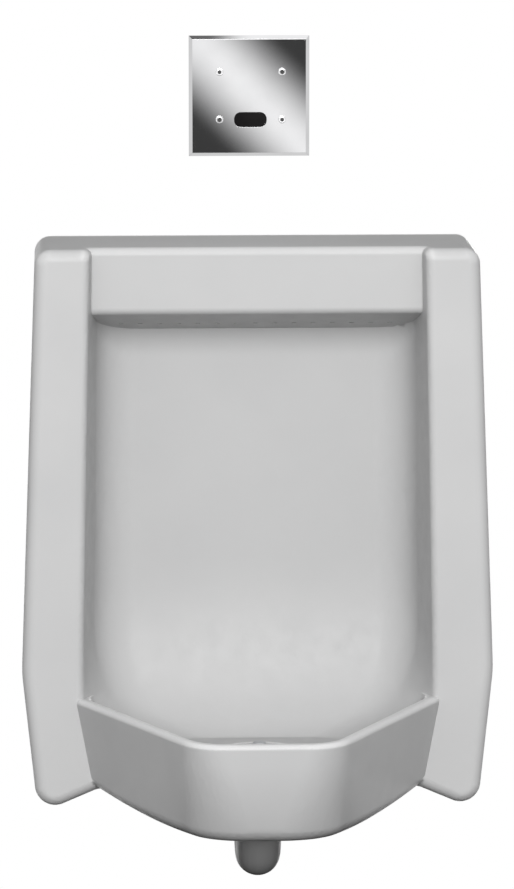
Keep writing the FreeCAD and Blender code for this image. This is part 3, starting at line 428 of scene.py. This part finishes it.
def blend_colours(tree, factor, first, second):
    mix = tree.nodes.new("ShaderNodeMix")
    mix.data_type = "RGBA"
    for name, colour in (("A", first), ("B", second)):
        if isinstance(colour, bpy.types.NodeSocket):
            tree.links.new(colour, mix.inputs[name])
        else:
            mix.inputs[name].default_value = (*colour, 1.0)
    tree.links.new(factor, mix.inputs["Factor"])
    return mix.outputs["Result"]


def add_bump(tree, shader, height, depth, strength):
    bump = tree.nodes.new("ShaderNodeBump")
    bump.inputs["Distance"].default_value = depth
    bump.inputs["Strength"].default_value = strength
    tree.links.new(height, bump.inputs["Height"])
    tree.links.new(bump.outputs["Normal"], shader.inputs["Normal"])


def china_glaze(settings):
    material, tree, shader = new_material("china_glaze")
    cloud = spread(tree, noise(tree, GLAZE_CLOUDS), 0.0, 1.0)
    glaze = blend_colours(tree, cloud, settings.glaze, settings.thin_glaze)
    # Painted shade: ambient occlusion darkens the glaze towards the painted shade colour in corners,
    # recesses and under the head
    painted_shade = blend_colours(tree, openness(tree, settings.painted_shade_reach), settings.painted_shade, glaze)
    # Painted highlight: rounded edges that face up are lightened towards the painted edge highlight colour
    edge = spread(tree, openness(tree, settings.edge_highlight_reach, inside=True), 1.0, 0.0, EDGE_FULL, EDGE_END)
    upward = spread(tree, axes(tree, "Normal")["Z"], 0.0, 1.0, 0.0, EDGE_UP)
    highlight_mask = join_values(tree, "MULTIPLY", upward, edge)
    tree.links.new(blend_colours(tree, highlight_mask, painted_shade, settings.painted_edge_highlight), shader.inputs["Base Color"])
    wear = spread(tree, noise(tree, GLAZE_WEAR), settings.gloss * SMOOTHER, settings.gloss * ROUGHER)
    dust = spread(tree, axes(tree)["Z"], 0.0, settings.dusty, CHINA_HIGH.z - settings.ledge, CHINA_HIGH.z)
    tree.links.new(join_values(tree, "MAXIMUM", wear, dust), shader.inputs["Roughness"])
    add_bump(tree, shader, noise(tree, GLAZE_WAVES, detail=2.0), settings.ripple, GLAZE_BUMP)
    shader.inputs["Specular IOR Level"].default_value = GLAZE_SPECULAR
    return material


def polished(name, colour, roughness):
    material, tree, shader = new_material(name)
    shader.inputs["Metallic"].default_value = 1.0
    streak = noise(tree, POLISH_STREAKS, detail=2.0)
    tone = spread(tree, noise(tree, POLISH_TONES), 0.0, 1.0)
    dull = tuple(channel * DULL_SHARE for channel in colour)
    tree.links.new(blend_colours(tree, tone, colour, dull), shader.inputs["Base Color"])
    wear = spread(tree, streak, roughness * SMOOTHER, roughness * ROUGHER)
    tree.links.new(wear, shader.inputs["Roughness"])
    return material


def window_gloss(colour):
    material, tree, shader = new_material("window_gloss")
    cloud = spread(tree, noise(tree, WINDOW_CLOUDS), 0.0, 1.0)
    deep = tuple(channel * DEEP_SHARE for channel in colour)
    tree.links.new(blend_colours(tree, cloud, colour, deep), shader.inputs["Base Color"])
    wear = spread(tree, noise(tree, WINDOW_WEAR), WINDOW_SMOOTH, WINDOW_ROUGH)
    tree.links.new(wear, shader.inputs["Roughness"])
    shader.inputs["Specular IOR Level"].default_value = WINDOW_SPECULAR
    return material


def metal(name, clean, worn, rough_low, rough_high, grain=40.0):
    material, tree, shader = new_material(name)
    shader.inputs["Metallic"].default_value = 1.0
    patch = spread(tree, noise(tree, grain, detail=6.0), 0.0, 1.0, PATCH_START, PATCH_END)
    tree.links.new(blend_colours(tree, patch, clean, worn), shader.inputs["Base Color"])
    wear = spread(tree, noise(tree, grain * WEAR_FINER), rough_low, rough_high)
    tree.links.new(wear, shader.inputs["Roughness"])
    add_bump(tree, shader, noise(tree, METAL_GRAIN), GRAIN_DEPTH, METAL_BUMP)
    return material


def moulded(name, colour, rough_low=0.4, rough_high=0.6, grain=1200.0):
    material, tree, shader = new_material(name)
    pale = tuple(min(1.0, channel * PALE_SHARE + PALE_LIFT) for channel in colour)
    tone = spread(tree, noise(tree, MOULD_TONES), 0.0, 1.0)
    tree.links.new(blend_colours(tree, tone, colour, pale), shader.inputs["Base Color"])
    tree.links.new(spread(tree, noise(tree, MOULD_WEAR), rough_low, rough_high), shader.inputs["Roughness"])
    add_bump(tree, shader, noise(tree, grain), GRAIN_DEPTH, MOULD_BUMP)
    return material


def shared(make, name, *tones, **values):
    """A finish that several pieces share is made once."""
    return bpy.data.materials.get(name) or make(name, *tones, **values)


def brass_finish():
    tones = bpy.context.scene.urinal_fittings
    return shared(metal, "machined_brass", tones.brass, tones.tarnish, rough_low=0.22, rough_high=0.42)


def steel_finish():
    tones = bpy.context.scene.urinal_fittings
    return shared(metal, "zinc_steel", tones.steel, tones.zinc, rough_low=0.28, rough_high=0.5, grain=120.0)


def rubber_finish():
    tones = bpy.context.scene.urinal_fittings
    return shared(moulded, "black_rubber", tones.rubber, rough_low=0.65, rough_high=0.8, grain=700.0)


def case_finish():
    tones = bpy.context.scene.urinal_fittings
    return shared(moulded, "case_plastic", tones.plastic)


# Pieces

class URINAL_OT_china(bpy.types.Operator):
    """Joins the china's surface and glazes it"""

    bl_idname = "urinal.china"
    bl_label = "China body"

    def execute(self, context):
        settings = context.scene.urinal_china
        body = merged_copy("china_body", settings.crease)
        self.round_belly(body, settings)
        even_normals(body, settings.crease)
        dress(body, "china_body", china_glaze(settings))
        return {"FINISHED"}

    def round_belly(self, body, settings):
        """Cuts the bowl's front finely below the lip and rounds it under towards its lower edge."""
        shape = bmesh.new()
        shape.from_mesh(body.data)
        tall = settings.belly_top - settings.belly_low
        deep = -CHINA_LOW.y - settings.belly_back
        for across, start, reach in ((UP, settings.belly_low, tall), (INWARD, CHINA_LOW.y, deep)):
            for step in range(1, BELLY_CUTS + 1):
                self.cut(shape, across, start + reach * step / BELLY_CUTS, settings)
        for vertex in shape.verts:
            front = smooth_step((-settings.belly_back - vertex.co.y) / deep)
            low = (settings.belly_top - vertex.co.z) / tall
            share = front * min(max(low, 0.0), 1.0) ** 2
            vertex.co.y += settings.belly_tuck * share
            vertex.co.z -= settings.belly_drop * share
        shape.to_mesh(body.data)
        shape.free()

    def cut(self, shape, across, level, settings):
        """Cuts the faces of the bowl's front along one plane."""
        faces = [face for face in shape.faces
                 if any(v.co.y < -settings.belly_back and v.co.z < settings.belly_top for v in face.verts)]
        edges = {edge for face in faces for edge in face.edges}
        verts = {vertex for face in faces for vertex in face.verts}
        bmesh.ops.bisect_plane(shape, geom=[*verts, *edges, *faces], dist=CUT_NEAR,
                               plane_co=across * level, plane_no=across)


class URINAL_OT_plate(bpy.types.Operator):
    """Rounds the cover plate's edges and polishes it"""

    bl_idname = "urinal.plate"
    bl_label = "Cover plate"

    def execute(self, context):
        settings = context.scene.urinal_plate
        plate = merged_copy("cover_plate", edge=settings.edge)
        dress(plate, "cover_plate", polished("plate_polish", settings.chrome, settings.polish))
        return {"FINISHED"}


class URINAL_OT_screws(bpy.types.Operator):
    """Models one plate screw with a hexagon socket and copies it to the four places"""

    bl_idname = "urinal.screws"
    bl_label = "Plate screws"

    def execute(self, context):
        settings = context.scene.urinal_plate
        first = self.model(settings)
        finish = polished("screw_polish", settings.nickel, settings.polish * SCREW_ROUGHER)
        # The socket's near-black material is painted shade in the recess
        shade = moulded("socket_painted_shade", settings.socket_shade)
        for node in SCREWS:
            low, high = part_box(node)
            copy = bpy.data.objects.new(node + "_skin", first.data.copy())
            context.scene.collection.objects.link(copy)
            choose(copy)
            copy.location = ((low.x + high.x) / 2, low.y, (low.z + high.z) / 2)
            bpy.ops.object.transform_apply(location=True, rotation=False, scale=False)
            dress(copy, node, finish)
            self.darken_socket(copy, low, high, shade, settings)
        bpy.data.objects.remove(first)
        return {"FINISHED"}

    def darken_socket(self, screw, low, high, shade, settings):
        """Gives the faces inside the socket a second, near-black material: painted shade in the recess."""
        screw.data.materials.append(shade)
        middle = (low + high) / 2
        for face in screw.data.polygons:
            off_axis = math.hypot(face.center.x - middle.x, face.center.z - middle.z)
            sunk = face.center.y - low.y
            inside = SOCKET_NEAR < sunk < settings.socket_depth * SOCKET_SLACK
            if inside and off_axis < settings.socket_width / 2:
                face.material_index = 1

    def model(self, settings):
        """A screw along +Y with the top of its head at the origin."""
        tall = settings.head_height
        screw = self.post(HEAD_SIDES, settings.head_width / 2, 0.0, tall)
        bpy.ops.object.transform_apply(location=True, rotation=True, scale=False)
        dome = screw.modifiers.new("dome", "BEVEL")
        dome.width = tall * DOME_SHARE
        dome.segments = DOME_STEPS
        dome.limit_method = "ANGLE"
        apply_modifiers(screw)
        deep = settings.socket_depth
        socket = self.post(SOCKET_SIDES, settings.socket_width / 2, -deep, deep)
        hole = screw.modifiers.new("socket", "BOOLEAN")
        hole.operation = "DIFFERENCE"
        hole.object = socket
        apply_modifiers(screw)
        bpy.data.objects.remove(socket)
        self.post(SHANK_SIDES, settings.head_width * SHANK_SHARE, tall, SCREW_HIGH.y - SCREW_LOW.y)
        screw.select_set(True)
        bpy.context.view_layer.objects.active = screw
        bpy.ops.object.join()
        even_normals(screw, CRISP_CREASE)
        return screw

    def post(self, sides, radius, start, end):
        """A cylinder along Y from start to end, left selected by itself."""
        bpy.ops.object.select_all(action="DESELECT")
        bpy.ops.mesh.primitive_cylinder_add(
            vertices=sides, radius=radius, depth=end - start,
            location=(0.0, (start + end) / 2, 0.0), rotation=(math.pi / 2, 0.0, 0.0))
        return bpy.context.object


class URINAL_OT_window(bpy.types.Operator):
    """Models the dark sensor window in the plate"""

    bl_idname = "urinal.window"
    bl_label = "Sensor window"

    def execute(self, context):
        settings = context.scene.urinal_plate
        window = merged_copy("sensor_window", CRISP_CREASE, CASE_EDGE)
        dress(window, "sensor_window", window_gloss(settings.window))
        return {"FINISHED"}


class URINAL_OT_waste(bpy.types.Operator):
    """Dresses the strainer, the outlet flange, its gasket and bolts"""

    bl_idname = "urinal.waste"
    bl_label = "Waste fittings"

    def execute(self, context):
        dress_nodes(["drain_strainer"], self.strainer_finish(context), GRATE_EDGE)
        dress_nodes(["outlet_gasket"], rubber_finish())
        dress_nodes(["outlet_flange"], brass_finish())
        dress_nodes(["outlet_bolt_left", "outlet_bolt_right", "outlet_nut_left", "outlet_nut_right"],
                    steel_finish())
        return {"FINISHED"}

    def strainer_finish(self, context):
        tones = context.scene.urinal_fittings
        return metal("strainer_steel", tones.steel, tones.zinc, rough_low=0.42, rough_high=0.58, grain=80.0)


class URINAL_OT_hangers(bpy.types.Operator):
    """Dresses the two wall hangers and their screws"""

    bl_idname = "urinal.hangers"
    bl_label = "Wall hangers"

    def execute(self, context):
        dress_nodes(["hanger_left", "hanger_right"], steel_finish(), PANEL_EDGE)
        dress_nodes(["hanger_screw_left_1", "hanger_screw_left_2", "hanger_screw_right_1",
                     "hanger_screw_right_2"], steel_finish())
        return {"FINISHED"}


class URINAL_OT_flush_pipe(bpy.types.Operator):
    """Dresses the back spud, the flush elbow and tube and the vacuum breaker"""

    bl_idname = "urinal.flush_pipe"
    bl_label = "Flush pipe"

    def execute(self, context):
        tones = context.scene.urinal_fittings
        dress_nodes(["inlet_spud", "spud_locknut", "elbow_nut", "flush_elbow", "flush_tube", "slip_nut",
                     "breaker_body"], brass_finish())
        dress_nodes(["spud_sleeve", "slip_gasket"], rubber_finish())
        dress_nodes(["spud_washer"], steel_finish())
        dress_nodes(["breaker_float"], moulded("float_plastic", tones.float_white))
        return {"FINISHED"}


class URINAL_OT_valve(bpy.types.Operator):
    """Dresses the flush valve with its poppet, springs, coil and plunger"""

    bl_idname = "urinal.valve"
    bl_label = "Flush valve"

    def execute(self, context):
        tones = context.scene.urinal_fittings
        dress_nodes(["valve_body", "main_poppet"], brass_finish())
        dress_nodes(["main_diaphragm"], rubber_finish())
        wire = metal("spring_wire", tones.steel, tones.zinc, rough_low=0.15, rough_high=0.3, grain=200.0)
        self.spring("poppet_spring", "poppet_slide", wire)
        self.spring("plunger_spring", "plunger_slide", wire)
        dress_nodes(["valve_bonnet"], case_finish())
        dress_nodes(["solenoid_coil"], moulded("coil_plastic", tones.coil))
        dress_nodes(["solenoid_plunger"], steel_finish())
        return {"FINISHED"}

    def spring(self, node, joint, wire):
        """Dresses a spring and gives it a mesh of its own; the joint is not used."""
        piece = merged_copy(node)
        dress(piece, node, wire)
        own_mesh(piece)


class URINAL_OT_supply(bpy.types.Operator):
    """Dresses the quarter-turn stop and the supply nipple"""

    bl_idname = "urinal.supply"
    bl_label = "Supply stop"

    def execute(self, context):
        settings = context.scene.urinal_plate
        dress_nodes(["stop_body", "stop_gland", "supply_nipple", "nipple_locknut"], brass_finish())
        dress_nodes(["stop_plug"], polished("plug_polish", settings.nickel, settings.polish * PLUG_ROUGHER))
        return {"FINISHED"}


class URINAL_OT_box(bpy.types.Operator):
    """Dresses the wall box and the frame inside it"""

    bl_idname = "urinal.box"
    bl_label = "Wall box"

    def execute(self, context):
        dress_nodes(["wall_box", "mounting_frame"], steel_finish(), CASE_EDGE)
        return {"FINISHED"}


class URINAL_OT_electrics(bpy.types.Operator):
    """Dresses the battery pack and the sensor unit"""

    bl_idname = "urinal.electrics"
    bl_label = "Battery pack and sensor"

    def execute(self, context):
        tones = context.scene.urinal_fittings
        dress_nodes(["battery_case", "battery_lid", "sensor_housing"], case_finish(), CASE_EDGE)
        dress_nodes(["battery_cell_1", "battery_cell_2", "battery_cell_3", "battery_cell_4"],
                    moulded("cell_sleeve", tones.sleeve, rough_low=0.2, rough_high=0.35, grain=400.0))
        dress_nodes(["sensor_board"],
                    moulded("board_laminate", tones.laminate, rough_low=0.3, rough_high=0.45))
        return {"FINISHED"}


# Stage

def look_at(obj, target):
    obj.rotation_euler = (Vector(target) - obj.location).to_track_quat("-Z", "Y").to_euler()


def area_light(name, place, target, size, power):
    lamp = bpy.data.lights.new(name, "AREA")
    lamp.shape = "SQUARE"
    lamp.size = size
    lamp.energy = power
    light = bpy.data.objects.new(name, lamp)
    light.location = place
    bpy.context.scene.collection.objects.link(light)
    look_at(light, target)


def stage_plane(name, size, place, turn=(0.0, 0.0, 0.0)):
    bpy.ops.object.select_all(action="DESELECT")
    bpy.ops.mesh.primitive_plane_add(size=size, location=place, rotation=turn)
    plane = bpy.context.object
    plane.name = name
    return plane


def seen_directly(tree):
    """1 for rays that show a surface as it is: from the camera, a mirror or a clear piece."""
    rays = tree.nodes.new("ShaderNodeLightPath")
    total = rays.outputs["Is Camera Ray"]
    for kind in ("Is Glossy Ray", "Is Transmission Ray"):
        total = join_values(tree, "MAXIMUM", total, rays.outputs[kind])
    return total


def dull_surface(shader, bounce, roughness):
    shader.inputs["Base Color"].default_value = (bounce, bounce, bounce, 1.0)
    shader.inputs["Roughness"].default_value = roughness
    shader.inputs["Specular IOR Level"].default_value = 0.0


def white_backdrop(name, glow, tint):
    """White where it is seen, with the shadow its tint takes, dull for bounced light, clear from behind."""
    material, tree, shader = new_material(name)
    dull_surface(shader, ROOM_BOUNCE, ROOM_ROUGHNESS)
    white = tree.nodes.new("ShaderNodeEmission")
    white.inputs["Strength"].default_value = glow
    matt = tree.nodes.new("ShaderNodeBsdfDiffuse")
    matt.inputs["Color"].default_value = (tint, tint, tint, 1.0)
    seen = tree.nodes.new("ShaderNodeAddShader")
    tree.links.new(white.outputs["Emission"], seen.inputs[0])
    tree.links.new(matt.outputs["BSDF"], seen.inputs[1])
    lit = tree.nodes.new("ShaderNodeMixShader")
    tree.links.new(seen_directly(tree), lit.inputs["Fac"])
    tree.links.new(shader.outputs["BSDF"], lit.inputs[1])
    tree.links.new(seen.outputs["Shader"], lit.inputs[2])
    clear = tree.nodes.new("ShaderNodeBsdfTransparent")
    side = tree.nodes.new("ShaderNodeNewGeometry")
    sided = tree.nodes.new("ShaderNodeMixShader")
    tree.links.new(side.outputs["Backfacing"], sided.inputs["Fac"])
    tree.links.new(lit.outputs["Shader"], sided.inputs[1])
    tree.links.new(clear.outputs["BSDF"], sided.inputs[2])
    tree.links.new(sided.outputs["Shader"], tree.nodes["Material Output"].inputs["Surface"])
    return material


class URINAL_OT_stage(bpy.types.Operator):
    """Sets up the camera, the light, the wall, the floor, the cards that the plate mirrors and a flag"""

    bl_idname = "urinal.stage"
    bl_label = "Stage"

    def execute(self, context):
        settings = context.scene.urinal_stage
        self.camera(context, settings)
        self.lights(settings)
        self.surroundings(context, settings)
        self.room(settings)
        self.flag(settings)
        self.cards(settings)
        context.scene.view_settings.view_transform = "Standard"
        return {"FINISHED"}

    def camera(self, context, settings):
        data = bpy.data.cameras.new("camera")
        data.sensor_fit = "VERTICAL"
        data.sensor_height = FRAME_HEIGHT
        data.lens = settings.lens
        camera = bpy.data.objects.new("camera", data)
        camera.location = settings.camera_place
        context.scene.collection.objects.link(camera)
        look_at(camera, settings.camera_aim)
        context.scene.camera = camera

    def lights(self, settings):
        aim = settings.camera_aim
        area_light("front", settings.key_place, aim, settings.key_size, settings.key_power)
        area_light("back", settings.back_place, aim, settings.back_size, settings.back_power)

    def surroundings(self, context, settings):
        world = bpy.data.worlds.new("surroundings")
        world.use_nodes = True
        tree = world.node_tree
        level = tree.nodes.new("ShaderNodeMapRange")
        level.inputs["To Min"].default_value = settings.fill
        level.inputs["To Max"].default_value = 1.0
        tree.links.new(seen_directly(tree), level.inputs["Value"])
        tree.links.new(level.outputs["Result"], tree.nodes["Background"].inputs["Strength"])
        tree.nodes["Background"].inputs["Color"].default_value = (1.0, 1.0, 1.0, 1.0)
        context.scene.world = world

    def room(self, settings):
        wall = stage_plane("wall", ROOM, (0.0, settings.wall_gap, settings.floor_height + ROOM / 2),
                           (math.pi / 2, 0.0, 0.0))
        wall.data.materials.append(white_backdrop("wall_white", 1.0, 0.0))
        wall.visible_shadow = False
        floor = stage_plane("floor", ROOM, (0.0, settings.wall_gap - ROOM / 2, settings.floor_height))
        floor.data.materials.append(white_backdrop("floor_white", settings.floor_glow, settings.floor_tint))

    def flag(self, settings):
        """A dark cloth out of the picture that keeps the floor's glare off the china's underside."""
        flag = stage_plane("flag", settings.flag_size, (0.0, -settings.flag_size / 2, settings.flag_height))
        material, _, shader = new_material("flag_cloth")
        dull_surface(shader, FLAG_BOUNCE, 1.0)
        flag.data.materials.append(material)
        flag.visible_camera = False
        flag.visible_shadow = False

    def cards(self, settings):
        """Two cards out of the picture that only the plate mirrors: a slanting band and a hood."""
        size, bright = settings.card_size, settings.card_bright
        tree = self.mirror_card("card", size, settings.card_centre, (math.pi / 2, 0.0, math.pi))
        place = axes(tree)
        middle = settings.card_centre[0] + settings.card_centre[2]
        slant = join_values(tree, "SUBTRACT", join_values(tree, "ADD", place["X"], place["Z"]), middle)
        away = join_values(tree, "ABSOLUTE", slant)
        self.glow(tree, spread(tree, away, bright, settings.card_dark, 0.0, settings.card_band))
        middle = (PLATE_LOW.x + PLATE_HIGH.x) / 2
        tree = self.mirror_card("hood", size, (middle, 0.0, PLATE_HIGH.z + size), (math.pi, 0.0, 0.0))
        shade = settings.hood_shade
        self.glow(tree, spread(tree, axes(tree)["X"], settings.hood_dark, bright,
                               PLATE_LOW.x + shade, middle + shade / 2))

    def mirror_card(self, name, size, place, turn):
        """A card that only mirrors show, returned as the nodes of its material."""
        card = stage_plane(name, size, place, turn)
        choose(card)
        bpy.ops.object.transform_apply(location=True, rotation=True, scale=False)
        card.visible_camera = False
        card.visible_diffuse = False
        card.visible_shadow = False
        material, tree, _ = new_material(name + "_glow")
        card.data.materials.append(material)
        return tree

    def glow(self, tree, level):
        level.node.interpolation_type = "SMOOTHSTEP"
        light = tree.nodes.new("ShaderNodeEmission")
        tree.links.new(level, light.inputs["Strength"])
        tree.links.new(light.outputs["Emission"], tree.nodes["Material Output"].inputs["Surface"])


PIECES = (
    URINAL_OT_china, URINAL_OT_plate, URINAL_OT_screws, URINAL_OT_window, URINAL_OT_waste,
    URINAL_OT_hangers, URINAL_OT_flush_pipe, URINAL_OT_valve, URINAL_OT_supply, URINAL_OT_box,
    URINAL_OT_electrics, URINAL_OT_stage,
)


class URINAL_PT_panel(bpy.types.Panel):
    """Lists the steps in order"""

    bl_idname = "URINAL_PT_panel"
    bl_label = "Urinal"
    bl_space_type = "VIEW_3D"
    bl_region_type = "UI"
    bl_category = "Urinal"

    def draw(self, context):
        for piece in PIECES:
            self.layout.operator(piece.bl_idname)


def register():
    for name, group in SETTINGS.items():
        bpy.utils.register_class(group)
        setattr(bpy.types.Scene, name, bpy.props.PointerProperty(type=group))
    for cls in (*PIECES, URINAL_PT_panel):
        bpy.utils.register_class(cls)


def unregister():
    for cls in reversed((*PIECES, URINAL_PT_panel)):
        bpy.utils.unregister_class(cls)
    for name, group in SETTINGS.items():
        delattr(bpy.types.Scene, name)
        bpy.utils.unregister_class(group)


def main():
    register()
    bpy.ops.urinal.china()
    bpy.ops.urinal.plate()
    bpy.ops.urinal.screws()
    bpy.ops.urinal.window()
    bpy.ops.urinal.waste()
    bpy.ops.urinal.hangers()
    bpy.ops.urinal.flush_pipe()
    bpy.ops.urinal.valve()
    bpy.ops.urinal.supply()
    bpy.ops.urinal.box()
    bpy.ops.urinal.electrics()
    bpy.ops.urinal.stage()


if __name__ == "__main__":
    main()
